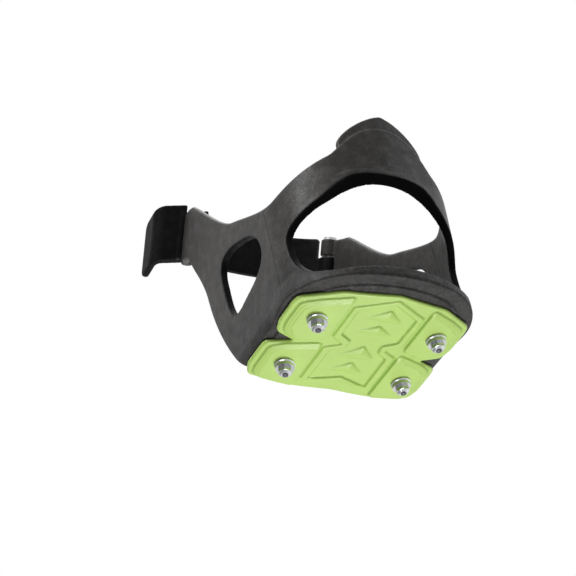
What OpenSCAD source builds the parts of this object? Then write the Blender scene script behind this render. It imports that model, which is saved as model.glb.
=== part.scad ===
// Heel ice spur: a rubber heel harness with a studded traction plate under it and a strap over the instep.
// The origin is the middle of the heel seat. +Z is up, +Y is towards the toe, +X is the wearer's right.

/* [Heel cup] */
// Half of the cup's outside width
cup_half_w = 46; // [43:0.5:52]
// How far the cup reaches behind the origin
rear_reach = 52; // [50:0.5:56]
// Radius of the two rounded corners at the back of the heel
heel_corner_r = 36; // [32:1:40]
// Radius of the flatter middle of the back
heel_back_r = 62; // [56:1:80]
// Thickness of the rubber wall
wall_t = 3.6; // [3:0.1:4.5]
// Rounding radius under the cup's outside edge
under_r = 5; // [4:0.5:6]
// How far the rim at the foot of the cup flares out from the wall
rim_flare = 1.3; // [0.8:0.1:1.8]
// Height at which the rim starts to flare
rim_flare_from = 9; // [7:0.5:12]
// Height under which the rim has its full width
rim_full_z = 1; // [0:0.25:3]
// Height of the back band's top edge at the middle
band_top_z = 84; // [78:1:90]
// How far in front of the back the band's upper edge starts to rise
band_end_in = 7.1; // [6:0.1:8.5]
// Height of that point above the lowest point of the upper edge
band_end_rise = 10.8; // [9:0.2:12.4]
// Width of the slope that fills the inside corner between seat and wall
corner_fill = 2.8; // [2:0.1:4]
// How far the wall's foot runs in under the seat
foot_in = 9; // [8:0.5:12]
// How far the wall's foot reaches below the seat's middle
foot_drop = 1.2; // [0.8:0.1:1.6]

/* [Back window] */
// Height of the window's lower edge above the seat
window_low_z = 0.5; // [0.25:0.25:3]
// Height of the window's upper edge at the middle of the back
window_top_z = 54.5; // [50:0.5:58]
// Front end of the window
window_front_y = -25.5; // [-29:0.5:-23]
// Height of the window's front end
window_front_z = 27.5; // [25:0.5:31]
// How far the window's brow lies behind its front end
brow_back = 15.4; // [13:0.2:17]
// How far the window's brow lies above its front end
brow_rise = 14.6; // [13:0.2:16]

/* [Pull flap] */
// Half of the flap's width
flap_half_w = 22; // [18:0.5:23]
// How far the flap rises above the back band
flap_rise = 6.5; // [4:0.5:9]
// How far the flap is set back from the band's face
flap_set = 1.2; // [0.8:0.1:1.6]
// How far the flap's ends lie below the band's top edge
flap_drop = 10.5; // [8:0.5:12]
// How deep the flap's lower edge is rooted in the band
flap_root = 6; // [4:0.5:8]

/* [Arms] */
// Lowest point of the arm's upper edge, along the foot
notch_y = -19; // [-22:0.5:-16]
// Lowest point of the arm's upper edge, height
notch_z = 55.6; // [53:0.2:58]
// How far the waist of the arm's upper edge lies in front of that point
waist_run = 39.5; // [36:0.5:42]
// How far the waist of the arm's upper edge lies above that point
waist_rise = 20; // [18:0.5:22]
// Foot of the arm's front edge at the sole
arm_foot_y = 27; // [24:0.5:30]
// Knee of the arm's front edge, along the foot
arm_knee_y = 54.5; // [50:0.5:58]
// Knee of the arm's front edge, height
arm_knee_z = 52; // [46:1:58]
// Slope of the arm's front end and of the strap across the instep
arm_tilt = 28; // [25:1:31]
// Distance along the slope where the arm starts to curl round the instep
arm_reach = 106.5; // [102:0.5:112]
// Lower edge of the arm's front end, measured across the slope
arm_low = 48.4; // [46:0.2:52]
// Width of the arm's front end
arm_w = 27; // [24:0.5:30]
// Outside radius of the curl round the instep
curl_r = 32; // [28:0.5:36]
// Angle round the curl at which the arm ends
arm_end_angle = 30; // [26:1:36]
// Radius of the bead on the left arm's end
bead_r = 3; // [2.4:0.1:3.4]
// Length over which the arm's end runs back inside the side wall
arm_lap = 1; // [0.6:0.1:1.5]

/* [Side hole] */
// Middle of the side hole, along the foot
hole_y = 16.5; // [14:0.5:18]
// Middle of the side hole, height
hole_z = 44; // [42:0.5:46]
// Length of the side hole
hole_len = 42.5; // [34:0.5:44]
// Height of the side hole
hole_h = 38.5; // [32:0.5:40]

/* [Sole] */
// Radius of the gentle cross curve under the sole
sole_r = 340; // [300:10:420]
// Thickness of the rubber seat along its middle
seat_t = 4.8; // [4.4:0.1:6]
// Front edge of the seat
seat_front_y = 32.5; // [31:0.5:35]
// Thickness of the traction plate at its pads
plate_t = 3.6; // [3.4:0.1:4.5]
// Half of the plate's width across its lobes
plate_half_w = 44; // [42:0.5:45]
// Rear edge of the plate at its middle
plate_rear_y = -42; // [-44:0.5:-40]
// Front edge of the plate at its lobes
plate_front_y = 33.5; // [32:0.5:35]
// Inner end of the notches between the lobes
lobe_notch_x = 32; // [31:0.5:34]
// Height of the pads over the plate's border
pad_step = 1.4; // [1.2:0.1:1.8]
// Height of the outer step round the pads over the plate's border
outer_step = 0.9; // [0.6:0.1:1.1]
// Depth of the middle panel under the plate's border
panel_depth = 0.3; // [0.2:0.1:0.6]
// Height of the rib round the middle panel over the plate's border
rib_h = 0.8; // [0.5:0.1:1.1]
// Width of that rib
rib_w = 2.6; // [2:0.1:3.2]
// Height of the pyramids in the middle panel
pyramid_h = 1.5; // [0.8:0.1:2]
// How deep the pyramids are rooted in the plate
pyramid_root = 0.8; // [0.4:0.1:1.2]
// Inner edge of the pads
pad_inner_x = 20; // [19:0.5:22]
// Half of the width across the rib
panel_half_w = 17.5; // [16:0.5:18]

/* [Studs] */
// Half of the studs' spacing across the foot, at the pads
stud_x = 30; // [28:0.5:32]
// Half of the studs' spacing along the foot
stud_y = 17.5; // [16:0.5:19]
// Height of a stud below its pad
stud_h = 7; // [6.6:0.1:8]
// Radius of the stud's threaded shank
shank_r = 2.45; // [2:0.05:2.8]
// Outside radius of the washer
washer_r = 4.8; // [4.7:0.1:5.5]
// Thickness of the washer
washer_t = 1.4; // [1:0.1:1.6]
// Radius of the stud's round collar
collar_r = 4.4; // [4:0.1:4.6]
// Height of the collar
collar_h = 1.4; // [1:0.1:1.6]
// Width across the flats of the stud's hexagon
hex_af = 5.8; // [5:0.1:6.4]
// Height of the hexagon
hex_h = 2.4; // [2:0.1:2.6]
// Radius of the hard metal tip
tip_r = 1.3; // [1:0.05:1.5]
// Length of the tip that stands out of the stud
tip_out = 0.8; // [0.6:0.1:1]
// Length of the tip inside the stud
tip_in = 2.4; // [1.5:0.1:3]

/* [T-nuts] */
// Radius of the T-nut's flange
tnut_flange_r = 6.5; // [5.5:0.1:7]
// Thickness of the T-nut's flange
tnut_flange_t = 1; // [0.8:0.1:1.2]
// Outside radius of the T-nut's barrel
tnut_barrel_r = 3.4; // [3.2:0.1:3.8]
// Length of the T-nut's barrel
tnut_barrel_len = 3; // [2.4:0.1:3.4]
// Rubber left between the T-nut's flange and the plate
tnut_seat = 1.4; // [1:0.1:2]

/* [Instep strap] */
// Thickness of the strap
strap_t = 3.6; // [3:0.1:4.5]
// Width of the strap
strap_w = 24; // [20:0.5:25]
// How far the strap's middle lies above the arm's middle
strap_rise = 2.6; // [1.6:0.1:3.4]
// Radius of the strap's flatter middle
strap_back_r = 80; // [70:1:100]
// Middle radius of the turn where the strap leaves the arm for the pull tab
s_turn_r = 6; // [5:0.5:8]
// Angle at which that turn starts
s_turn_from = 46; // [42:1:50]
// Angle at which that turn ends
s_turn_to = 16; // [10:1:22]
// Width of the pull tab
tab_w = 29.5; // [27:0.5:32]
// How far the pull tab's middle lies above the strap's middle
tab_rise = 1.3; // [0.8:0.1:2]
// Length of the pull tab's straight part
tab_len = 10.5; // [8:0.5:12]
// Radius of the pull tab's forward curl
tab_curl_r = 5; // [4:0.5:7]
// Length of the pull tab's end
tab_end = 10; // [7:0.5:12]
// Length of the tongue tucked inside the left arm
tongue_len = 12; // [8:0.5:14]
// Thickness of the tongue
tongue_t = 2.4; // [2:0.1:3]
// Radius of the hinge pin
pin_r = 2; // [1.6:0.1:2.4]
// Radius of the hinge knuckles
knuckle_r = 4.6; // [4.2:0.1:5]
// Radius of the pin's head and of its cap
pin_head_r = 3.4; // [3:0.1:3.8]
// Thickness of the pin's head and of its cap
pin_head_t = 1.4; // [1:0.1:2]

/* [Clearances] */
// Radial clearance of the hinge pin in the strap
pin_clearance = 0.06; // [0.02:0.01:0.1]
// Radial clearance of the pin in the arm and of the tip in the stud
seat_clearance = 0.02; // [0.01:0.01:0.05]
// Clearance between the strap and the arms
strap_clearance = 0.4; // [0.3:0.1:0.8]
// Radial clearance of screws and barrels in their holes
screw_clearance = 0.1; // [0.05:0.05:0.2]

/* [Hidden] */
$fn = 64;

rubber_black = [0.10, 0.10, 0.11];
strap_black = [0.06, 0.06, 0.065];
lime = [0.62, 0.83, 0.32];
bright_steel = [0.82, 0.83, 0.84];
plain_steel = [0.60, 0.61, 0.62];
tip_grey = [0.45, 0.46, 0.48];

// Corners of the stud pattern: side and end of the foot
rear_left = [-1, -1];
rear_right = [1, -1];
front_left = [-1, 1];
front_right = [1, 1];
corners = [rear_left, rear_right, front_left, front_right];

// Plan of the cup: one flat arc at the back, two corner arcs, two straight sides
back_angle = asin((cup_half_w - heel_corner_r) / (heel_back_r - heel_corner_r));
back_centre_y = heel_back_r - rear_reach;
corner_x = cup_half_w - heel_corner_r;
corner_y = back_centre_y - (heel_back_r - heel_corner_r) * cos(back_angle);
curve_steps = 14;
round_steps = 5;

foot_low_z = -seat_t - foot_drop;
round_top_z = foot_low_z + 0.7 * under_r;

// Levels under the seat, on the sole's cross curve
pad_middle_z = -seat_t - plate_t;
sole_axis_z = pad_middle_z + sole_r;
plate_top_r = sole_r - plate_t;
border_r = sole_r - pad_step;
panel_r = border_r - panel_depth;
panel_inner_x = panel_half_w - rib_w;
stud_tilt = asin(stud_x / sole_r);
tnut_top = plate_t + tnut_seat + tnut_flange_t;
barrel_in_plate = tnut_barrel_len - tnut_seat;
under_z = pad_middle_z - stud_h;
far = 200;
over = 1;

// Frame of the arms' front ends: x across, u along the slope, w across the slope
curl_x = cup_half_w - curl_r;
curl_mid_r = curl_r - wall_t / 2;
hinge_x = curl_x + curl_mid_r * cos(arm_end_angle);
hinge_u = arm_reach + curl_mid_r * sin(arm_end_angle);
arm_mid = arm_low + arm_w / 2;
strap_middle = arm_mid + strap_rise;
tab_middle = strap_middle + tab_rise;
knuckle_w = (arm_w - 2 * strap_clearance) / 3;
arm_corner_low = on_slope(arm_reach, arm_low);
arm_corner_high = on_slope(arm_reach, arm_low + arm_w);
side_run = arm_corner_low.x - corner_y + over;
wall_top_z = arm_corner_high.y + over;

// Points on the side views' curves
arm_waist = [notch_y + waist_run, notch_z + waist_rise];
band_end = [-rear_reach + band_end_in, notch_z + band_end_rise];
window_brow = [window_front_y - brow_back, window_front_z + brow_rise];
flap_end_z = band_top_z - flap_drop;
flap_top_z = band_top_z + flap_rise;

// Pyramids in the middle panel: place of the base line, half width and length
pyramids = [[-23.5, 9, 8.2], [-13.8, 8.8, 6.2], [5.2, 9, 9.4], [16.2, 8.3, 7.6]];

// Middle line of the strap in the slope's frame, from the right hinge to the end of the pull tab
strap_mid_r = curl_mid_r;
strap_back_mid_r = strap_back_r - strap_t / 2;
strap_turn = acos(curl_x / (strap_back_mid_r - strap_mid_r));
strap_back_u = arm_reach - (strap_back_mid_r - strap_mid_r) * sin(strap_turn);
neck_angle = arm_end_angle + 2 * asin((knuckle_r + strap_clearance + strap_t / 2) / (2 * strap_mid_r));
s_turn_start = [-curl_x, arm_reach] + strap_mid_r * [-cos(s_turn_from), sin(s_turn_from)];
s_turn_centre = s_turn_start + s_turn_r * [-cos(s_turn_from), sin(s_turn_from)];
tab_start = s_turn_centre + s_turn_r * [-sin(s_turn_to), -cos(s_turn_to)];
tab_way = [-cos(s_turn_to), sin(s_turn_to)];
tab_front = [sin(s_turn_to), cos(s_turn_to)];
tab_centre = tab_start + tab_len * tab_way + tab_curl_r * tab_front;
tab_tip = tab_centre + [-tab_curl_r, tab_end];
tongue_x = -hinge_x + bead_r + 2.5 * strap_clearance;

// How far the rim's outside stands out from the wall, low down where its edge is rounded
function rim_shift(z) = rim_flare + sqrt(pow(under_r, 2) - pow(round_top_z - z, 2)) - under_r;

// Points along a cubic curve, without its last point
function bezier(a, b, c, d, n = curve_steps) = [
    for (i = [0 : n - 1])
        let (t = i / n, s = 1 - t) s*s*s * a + 3 * s*s*t * b + 3 * s*t*t * c + t*t*t * d
];

// Points along an arc, without its last point
function arc(centre, r, from, to, n = curve_steps) = [
    for (i = [0 : n - 1])
        let (a = from + (to - from) * i / n) centre + r * [cos(a), sin(a)]
];

// A right half outline made whole; points on the middle line are used once
function mirrored(points) = concat(
    points,
    [for (i = [len(points) - 1 : -1 : 0]) if (points[i].x > 0.01) [-points[i].x, points[i].y]]
);

// Point on the slope, turned into side view (along the foot, height)
function on_slope(u, w) = [u * cos(arm_tilt) - w * sin(arm_tilt), u * sin(arm_tilt) + w * cos(arm_tilt)];

// Cup wall

// Cross-section of the wall over its foot, as outwards and height
function rounded_foot() = [
    for (i = [0 : round_steps])
        let (z = foot_low_z + (round_top_z - foot_low_z) * i / round_steps) [rim_shift(z), z]
];
function wall_section(top) = concat(
    rounded_foot(),
    [[rim_flare, rim_full_z], [0, rim_flare_from], [0, top], [-wall_t, top]],
    [[-wall_t, 1.8 * corner_fill], [-wall_t - 0.3 * corner_fill, 0.7 * corner_fill]],
    [[-wall_t - corner_fill, 0]],
    [[-foot_in, 0], [-foot_in, foot_low_z]]
);

module wall_turn(centre, r, from, turn, section) {
    translate([centre.x, centre.y, 0])
        rotate_extrude(angle = turn, start = from)
            translate([r, 0])
                polygon(section);
}

module wall_sweep() {
    band = wall_section(wall_top_z);
    wall_turn([0, back_centre_y], heel_back_r, 270, back_angle, band);
    wall_turn([0, back_centre_y], heel_back_r, 270, -back_angle, band);
    wall_turn([corner_x, corner_y], heel_corner_r, 0, back_angle - 90, band);
    wall_turn([-corner_x, corner_y], heel_corner_r, 180, 90 - back_angle, band);
    for (s = [0, 1])
        mirror([s, 0, 0])
            translate([cup_half_w, corner_y, 0])
                rotate([-90, 0, 0])
                    mirror([0, 1, 0])
                        linear_extrude(side_run)
                            polygon(band);
}

// Side view of the wall: the front edge, the arm's end, the upper edge and the back
function side_outline() = concat(
    [[-far, -far], [arm_foot_y, -far]],
    bezier([arm_foot_y, foot_low_z], [arm_foot_y + 9, 5],
           [arm_knee_y - 5, arm_knee_z - 25], [arm_knee_y, arm_knee_z]),
    bezier([arm_knee_y, arm_knee_z], [arm_knee_y + 3, arm_knee_z + 16],
           arm_corner_low - [5, 14], arm_corner_low),
    [arm_corner_low],
    bezier(arm_corner_high, arm_corner_high - [9.5, 10.5],
           arm_waist + [12.5, 7.6], arm_waist),
    bezier(arm_waist, arm_waist - [11.5, 6],
           [notch_y + 8, notch_z + 0.3], [notch_y, notch_z]),
    bezier([notch_y, notch_z], [notch_y - 7, notch_z - 0.5],
           band_end + [5, -4.2], band_end),
    bezier(band_end, band_end + [-1.9, 1.7],
           [-rear_reach + 2.6, band_top_z - 5], [-rear_reach, band_top_z]),
    [[-rear_reach, band_top_z], [-far, band_top_z]]
);

// Side view of the back window, open to the rear
function window_outline() = concat(
    [[-far, window_low_z]],
    bezier([-rear_reach + 6, window_low_z], [window_front_y - 8.5, window_low_z + 1],
           [window_front_y, window_front_z - 15.5], [window_front_y, window_front_z]),
    bezier([window_front_y, window_front_z], [window_front_y, window_front_z + 6.5],
           window_brow + [7, -5], window_brow),
    bezier(window_brow, window_brow + [-3.6, 2.5],
           [-rear_reach + 3.5, window_top_z - 0.6], [-rear_reach - 0.5, window_top_z]),
    [[-rear_reach - 0.5, window_top_z], [-far, window_top_z]]
);

// Side view of the side hole: a rounded triangle with its long point down and forward
function hole_point(across, up) = [hole_y + across * hole_len / 2, hole_z + up * hole_h / 2];
function hole_outline() = concat(
    bezier(hole_point(-1, -0.3), hole_point(-1, -0.85), hole_point(-0.2, -0.85), hole_point(0.2, -0.98)),
    bezier(hole_point(0.2, -0.98), hole_point(0.75, -1.1), hole_point(0.85, -0.5), hole_point(0.93, 0.2)),
    bezier(hole_point(0.93, 0.2), hole_point(1.08, 1), hole_point(0.75, 1.1), hole_point(0.2, 0.9)),
    bezier(hole_point(0.2, 0.9), hole_point(-0.4, 0.65), hole_point(-1, 0.35), hole_point(-1, -0.3))
);

// Extrudes a side view right across the part
module across(points) {
    rotate([90, 0, 90])
        linear_extrude(2 * far, center = true)
            polygon(points);
}

// Everything above the cross curve of the sole at a given radius
module above_curve(r) {
    translate([0, 0, sole_axis_z])
        rotate([90, 0, 0])
            cylinder(r = r, h = 2 * far, center = true, $fn = 256);
}

module cup() {
    difference() {
        intersection() {
            wall_sweep();
            across(side_outline());
        }
        across(window_outline());
        across(hole_outline());
    }
}

// Plan of the cup moved inwards by a distance
function plan(inset) = mirrored(concat(
    arc([0, back_centre_y], heel_back_r - inset, 270, 270 + back_angle),
    arc([corner_x, corner_y], heel_corner_r - inset, 270 + back_angle, 360),
    [[cup_half_w - inset, corner_y], [cup_half_w - inset, seat_front_y]]
));

module seat() {
    translate([0, 0, foot_low_z])
        linear_extrude(-foot_low_z)
            polygon(plan(foot_in - 2));
}

// Crescent flap behind the back band's upper edge
function flap_outline() = concat(
    [[-flap_half_w, flap_end_z - flap_root]],
    bezier([-flap_half_w, flap_end_z], [-flap_half_w, flap_end_z + 5.5],
           [-flap_half_w * 0.37, flap_top_z - 1.8], [0, flap_top_z]),
    bezier([0, flap_top_z], [flap_half_w * 0.37, flap_top_z - 1.8],
           [flap_half_w, flap_end_z + 5.5], [flap_half_w, flap_end_z]),
    [[flap_half_w, flap_end_z], [flap_half_w, flap_end_z - flap_root]]
);

function flap_section() = [
    [-flap_set, flap_end_z - 2 * flap_root], [-flap_set, flap_top_z + flap_root],
    [-wall_t, flap_top_z + flap_root], [-wall_t, flap_end_z - 2 * flap_root]
];

module flap() {
    intersection() {
        wall_turn([0, back_centre_y], heel_back_r, 270 - back_angle, 2 * back_angle, flap_section());
        rotate([90, 0, 0])
            linear_extrude(far)
                polygon(flap_outline());
    }
}

// Draws in the slope's own frame
module sloped() {
    rotate([arm_tilt, 0, 0])
        children();
}

// Arm's front end, curling in round the instep, on the right side
module arm_curl() {
    translate([curl_x, arm_reach, arm_low])
        rotate_extrude(angle = arm_end_angle)
            translate([curl_r - wall_t, 0])
                square([wall_t, arm_w]);
    translate([cup_half_w - wall_t, arm_reach - arm_lap, arm_low + arm_lap])
        cube([wall_t, arm_lap, arm_w - 2 * arm_lap]);
}

module arm_end_rod(r, low, high) {
    translate([hinge_x, hinge_u, low])
        cylinder(r = r, h = high - low);
}

module right_arm_end() {
    difference() {
        union() {
            arm_curl();
            arm_end_rod(knuckle_r, arm_low, arm_low + knuckle_w);
            arm_end_rod(knuckle_r, arm_low + arm_w - knuckle_w, arm_low + arm_w);
        }
        arm_end_rod(knuckle_r + strap_clearance, arm_low + knuckle_w, arm_low + arm_w - knuckle_w);
        arm_end_rod(pin_r + seat_clearance, arm_low - over, arm_low + arm_w + over);
    }
}

module left_arm_end() {
    mirror([1, 0, 0]) {
        arm_curl();
        arm_end_rod(bead_r, arm_low, arm_low + arm_w);
    }
}

// Places a piece at a stud: its own +Z points out of the pad, with 0 on the pad
module at_stud(corner) {
    translate([0, corner.y * stud_y, sole_axis_z])
        rotate([0, -corner.x * stud_tilt, 0])
            translate([0, 0, -sole_r])
                mirror([0, 0, 1])
                    children();
}

// Room for a T-nut's barrel and flange, from above
module tnut_pocket() {
    translate([0, 0, -tnut_top - seat_t])
        cylinder(r = tnut_flange_r + screw_clearance, h = tnut_flange_t + seat_t);
    translate([0, 0, -tnut_top])
        cylinder(r = tnut_barrel_r + screw_clearance, h = tnut_top);
}

module harness() {
    color(rubber_black)
        difference() {
            union() {
                intersection() {
                    union() {
                        cup();
                        seat();
                    }
                    above_curve(plate_top_r);
                }
                flap();
                sloped() right_arm_end();
                sloped() left_arm_end();
            }
            for (c = corners)
                at_stud(c) tnut_pocket();
        }
}

// Traction plate

// Half outline of the plate, from the middle of the rear edge round to the middle of the front edge
function plate_half() = [
    [0, plate_rear_y], [plate_half_w - 18.3, plate_rear_y + 4.8], [plate_half_w - 1.4, plate_rear_y + 15.2],
    [plate_half_w - 0.3, plate_rear_y + 18], [plate_half_w, -8], [plate_half_w - 1.8, -1],
    [lobe_notch_x, 2.1], [plate_half_w - 1, 7.4], [plate_half_w, 10],
    [plate_half_w + 0.4, plate_front_y - 7.5], [plate_half_w - 2.2, plate_front_y - 0.8],
    [pad_inner_x, plate_front_y], [0, plate_front_y - 2]
];

// Rear pad on the right side: the outer step and the pad's own face
function rear_terrace() = [
    [pad_inner_x, plate_rear_y + 3.8], [33, plate_rear_y + 11], [plate_half_w - 3, plate_rear_y + 17.3],
    [plate_half_w - 2.7, -8.6], [plate_half_w - 4, -3.4], [lobe_notch_x - 0.5, 0.3], [pad_inner_x, -5]
];
function rear_pad() = [
    [pad_inner_x, plate_rear_y + 7.3], [32, plate_rear_y + 14], [plate_half_w - 6, plate_rear_y + 19.6],
    [plate_half_w - 5.5, -7.8], [lobe_notch_x + 1.5, -2.4], [lobe_notch_x - 0.5, -1.2], [pad_inner_x, -5.8]
];

// Front pad on the right side: the outer step and the pad's own face
function front_terrace() = [
    [pad_inner_x, -1.6], [24, -0.2], [35.5, 4.6], [plate_half_w - 2.8, 9],
    [plate_half_w - 2.6, plate_front_y - 7.5], [plate_half_w - 4.2, plate_front_y - 1.8],
    [pad_inner_x, plate_front_y - 1.2]
];
function front_pad() = [
    [pad_inner_x, 1.2], [24, 2.6], [34, 6.6], [plate_half_w - 5.4, 10.8],
    [plate_half_w - 5.4, plate_front_y - 7.5], [plate_half_w - 6.5, plate_front_y - 1.8],
    [pad_inner_x, plate_front_y - 1.6]
];

// Half outline of the rib round the middle panel
function rib_half() = [
    [0, plate_rear_y + 2.6], [panel_half_w, plate_rear_y + 12.2], [panel_half_w, -7.5], [10.6, -3.4],
    [panel_half_w + 0.6, 0.9], [panel_half_w + 0.6, plate_front_y - 7], [0, plate_front_y - 10.8]
];

// Half outline of the middle panel inside the rib
function panel_half() = [
    [0, plate_rear_y + 5.6], [panel_inner_x, plate_rear_y + 14], [panel_inner_x - 0.4, -10], [8, -6.3],
    [8.6, -1.2], [panel_inner_x - 0.4, 2.4], [panel_inner_x, plate_front_y - 7.8], [0, plate_front_y - 13.5]
];

module level(points, low_r) {
    intersection() {
        translate([0, 0, under_z])
            linear_extrude(-under_z)
                polygon(points);
        above_curve(low_r);
    }
}

// Pyramid with its point towards the heel, steep along its two rear edges and flush along its base line
module pyramid(y, half_w, run) {
    floor_z = sole_axis_z - panel_r;
    root_z = floor_z + pyramid_root;
    polyhedron(
        points = [
            [-half_w, y, root_z], [half_w, y, root_z], [0, y - run, root_z],
            [-half_w, y, floor_z], [half_w, y, floor_z], [0, y - run, floor_z - pyramid_h / 2],
            [0, y - run * 0.55, floor_z - pyramid_h]
        ],
        faces = [
            [0, 1, 2], [3, 4, 1, 0], [4, 5, 2, 1], [5, 3, 0, 2],
            [6, 4, 3], [6, 5, 4], [6, 3, 5]
        ]
    );
}

module traction_plate() {
    color(lime)
        difference() {
            union() {
                difference() {
                    level(mirrored(plate_half()), border_r);
                    difference() {
                        level(mirrored(panel_half()), sole_r + over);
                        above_curve(panel_r);
                    }
                }
                difference() {
                    level(mirrored(rib_half()), border_r + rib_h);
                    level(mirrored(panel_half()), sole_r + over);
                }
                for (s = [0, 1])
                    mirror([s, 0, 0]) {
                        level(rear_terrace(), border_r + outer_step);
                        level(rear_pad(), sole_r);
                        level(front_terrace(), border_r + outer_step);
                        level(front_pad(), sole_r);
                    }
                for (p = pyramids)
                    pyramid(p[0], p[1], p[2]);
            }
            above_curve(plate_top_r);
            for (c = corners)
                at_stud(c) {
                    translate([0, 0, -plate_t - over])
                        cylinder(r = shank_r + screw_clearance, h = plate_t + stud_h);
                    translate([0, 0, -plate_t - over])
                        cylinder(r = tnut_barrel_r + screw_clearance, h = over + barrel_in_plate);
                }
        }
}

// Studs and what holds them

module stud(corner) {
    hex_low = washer_t + collar_h;
    cone_low = hex_low + hex_h;
    color(bright_steel)
        at_stud(corner)
            difference() {
                union() {
                    translate([0, 0, -tnut_top])
                        cylinder(r = shank_r, h = tnut_top + washer_t);
                    translate([0, 0, washer_t])
                        cylinder(r = collar_r, h = collar_h);
                    translate([0, 0, hex_low])
                        cylinder(r = hex_af / sqrt(3), h = hex_h, $fn = 6);
                    translate([0, 0, cone_low])
                        cylinder(r1 = hex_af / 2 - 0.1, r2 = tip_r + 0.7, h = stud_h - tip_out - cone_low);
                }
                translate([0, 0, stud_h - tip_out - tip_in])
                    cylinder(r = tip_r + seat_clearance, h = tip_in + over);
            }
}

module tip(corner) {
    color(tip_grey)
        at_stud(corner)
            translate([0, 0, stud_h - tip_out - tip_in]) {
                cylinder(r = tip_r, h = tip_in + tip_out / 2);
                translate([0, 0, tip_in + tip_out / 2])
                    cylinder(r1 = tip_r, r2 = tip_r * 0.45, h = tip_out / 2);
            }
}

module washer(corner) {
    color(bright_steel)
        at_stud(corner)
            difference() {
                union() {
                    cylinder(r = washer_r, h = washer_t * 0.6);
                    translate([0, 0, washer_t * 0.6])
                        cylinder(r1 = washer_r, r2 = washer_r - washer_t * 0.5, h = washer_t * 0.4);
                }
                translate([0, 0, -over])
                    cylinder(r = shank_r + screw_clearance, h = washer_t + 2 * over);
            }
}

module tnut(corner) {
    color(plain_steel)
        at_stud(corner)
            difference() {
                union() {
                    translate([0, 0, -tnut_top])
                        cylinder(r = tnut_flange_r, h = tnut_flange_t);
                    translate([0, 0, -tnut_top])
                        cylinder(r = tnut_barrel_r, h = tnut_flange_t + tnut_barrel_len);
                }
                translate([0, 0, -tnut_top - over])
                    cylinder(r = shank_r + seat_clearance, h = tnut_top + 2 * over);
            }
}

// Instep strap

// One face of the band, a distance in front of its middle line
function band_face(d) = concat(
    arc([curl_x, arm_reach], strap_mid_r + d, neck_angle, strap_turn),
    arc([0, strap_back_u], strap_back_mid_r + d, strap_turn, 180 - strap_turn),
    arc([-curl_x, arm_reach], strap_mid_r + d, 180 - strap_turn, 180 - s_turn_from),
    arc(s_turn_centre, s_turn_r - d, -s_turn_from, -90 - s_turn_to),
    [tab_start + d * tab_front, tab_start + tab_len / 4 * tab_way + d * tab_front]
);

// One face of the pull tab, a distance in front of its middle line
function tab_face(d) = concat(
    [tab_start + d * tab_front],
    arc(tab_centre, tab_curl_r - d, 270 - s_turn_to, 180),
    [tab_centre + [d - tab_curl_r, 0], tab_tip + [d, 0]]
);

function both_faces(front, rear) = concat(front, [for (i = [len(rear) - 1 : -1 : 0]) rear[i]]);

function neck_section() = concat(
    arc([curl_x, arm_reach], strap_mid_r + strap_t / 2, arm_end_angle, neck_angle + 3),
    arc([curl_x, arm_reach], strap_mid_r - strap_t / 2, neck_angle + 3, arm_end_angle)
);

// Tongue that tucks between the left arm's bead and the boot
module tongue() {
    translate([tongue_x, hinge_u + bead_r + strap_clearance - tongue_len, strap_middle - strap_w / 2])
        cube([tongue_t, tongue_len + strap_t * 0.6, strap_w]);
}

// Pull tab, with its upper and lower edges cut level
module pull_tab() {
    tab_low_z = on_slope(tab_start.y, tab_middle - tab_w / 2).y;
    tab_high_z = on_slope(tab_start.y, tab_middle + tab_w / 2).y;
    intersection() {
        sloped()
            translate([0, 0, tab_middle - tab_w])
                linear_extrude(2 * tab_w)
                    polygon(both_faces(tab_face(strap_t / 2), tab_face(-strap_t / 2)));
        translate([-far, -far, tab_low_z])
            cube([2 * far, 2 * far, tab_high_z - tab_low_z]);
    }
}

module instep_strap() {
    knuckle_low = arm_low + knuckle_w + strap_clearance;
    knuckle_high = arm_low + arm_w - knuckle_w - strap_clearance;
    color(strap_black)
        union() {
            pull_tab();
            sloped() {
                translate([0, 0, strap_middle - strap_w / 2])
                    linear_extrude(strap_w)
                        polygon(both_faces(band_face(strap_t / 2), band_face(-strap_t / 2)));
                tongue();
                difference() {
                    union() {
                        arm_end_rod(knuckle_r, knuckle_low, knuckle_high);
                        translate([0, 0, knuckle_low])
                            linear_extrude(knuckle_high - knuckle_low)
                                polygon(neck_section());
                    }
                    arm_end_rod(pin_r + pin_clearance, arm_low, arm_low + arm_w);
                }
            }
        }
}

module strap_pin() {
    color(plain_steel)
        sloped() {
            arm_end_rod(pin_r, arm_low - pin_head_t / 2, arm_low + arm_w + pin_head_t);
            arm_end_rod(pin_head_r, arm_low - pin_head_t, arm_low);
        }
}

module pin_cap() {
    color(plain_steel)
        sloped()
            difference() {
                arm_end_rod(pin_head_r, arm_low + arm_w, arm_low + arm_w + pin_head_t);
                arm_end_rod(pin_r + seat_clearance, arm_low, arm_low + arm_w + 2 * pin_head_t);
            }
}

harness();
traction_plate();
instep_strap();
strap_pin();
pin_cap();
stud(rear_left);  // stud_rear_left
stud(rear_right);  // stud_rear_right
stud(front_left);  // stud_front_left
stud(front_right);  // stud_front_right
tip(rear_left);  // tip_rear_left
tip(rear_right);  // tip_rear_right
tip(front_left);  // tip_front_left
tip(front_right);  // tip_front_right
washer(rear_left);  // washer_rear_left
washer(rear_right);  // washer_rear_right
washer(front_left);  // washer_front_left
washer(front_right);  // washer_front_right
tnut(rear_left);  // tnut_rear_left
tnut(rear_right);  // tnut_rear_right
tnut(front_left);  // tnut_front_left
tnut(front_right);  // tnut_front_right
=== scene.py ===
"""Heel ice spur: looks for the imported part. The shape code is in millimetres, the objects are in metres."""

import math

import bpy
import numpy as np
from mathutils import Matrix, Vector


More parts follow.
